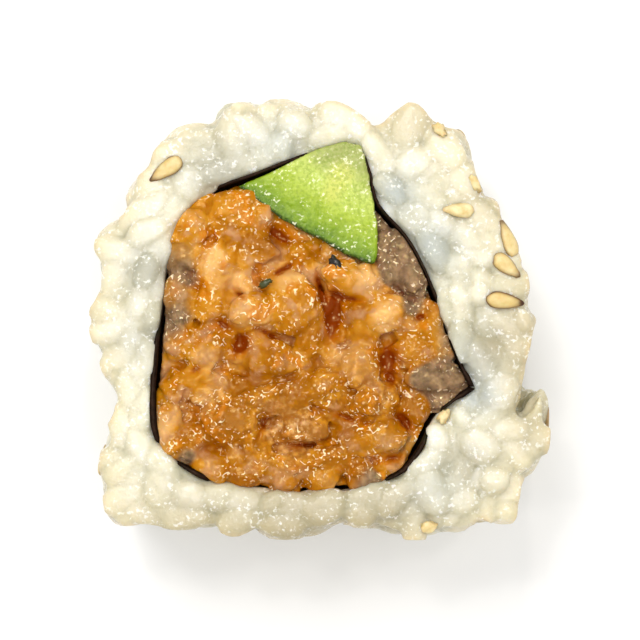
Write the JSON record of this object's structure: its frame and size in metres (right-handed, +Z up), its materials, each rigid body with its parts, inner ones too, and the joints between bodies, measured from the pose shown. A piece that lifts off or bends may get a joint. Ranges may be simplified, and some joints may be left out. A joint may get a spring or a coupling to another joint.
{
  "type": "uramaki roll",
  "caption": "Inside-out sushi roll slice: rice with sesame round a nori sheet, chopped fish filling and a cucumber wedge, lying on a cut face.",
  "frame": {"origin": "centre of the underside of the bounding box, on the lower knife cut", "axes": "+Z up along the roll's own axis, out of the shown cut; +X to the picture's right and +Y to its top"},
  "size_m": [0.0454, 0.0436, 0.0241],
  "materials": {
    "rice": "moist cooked rice, pressed, part see-through",
    "nori": "damp seaweed sheet",
    "filling": "wet chopped fish in sauce",
    "cucumber": "wet cut cucumber with a strip of skin"
  },
  "bodies": {
    "root": {"rice": "rice", "nori": "nori", "filling": "filling", "cucumber": "cucumber"}
  },
  "joints": []
}
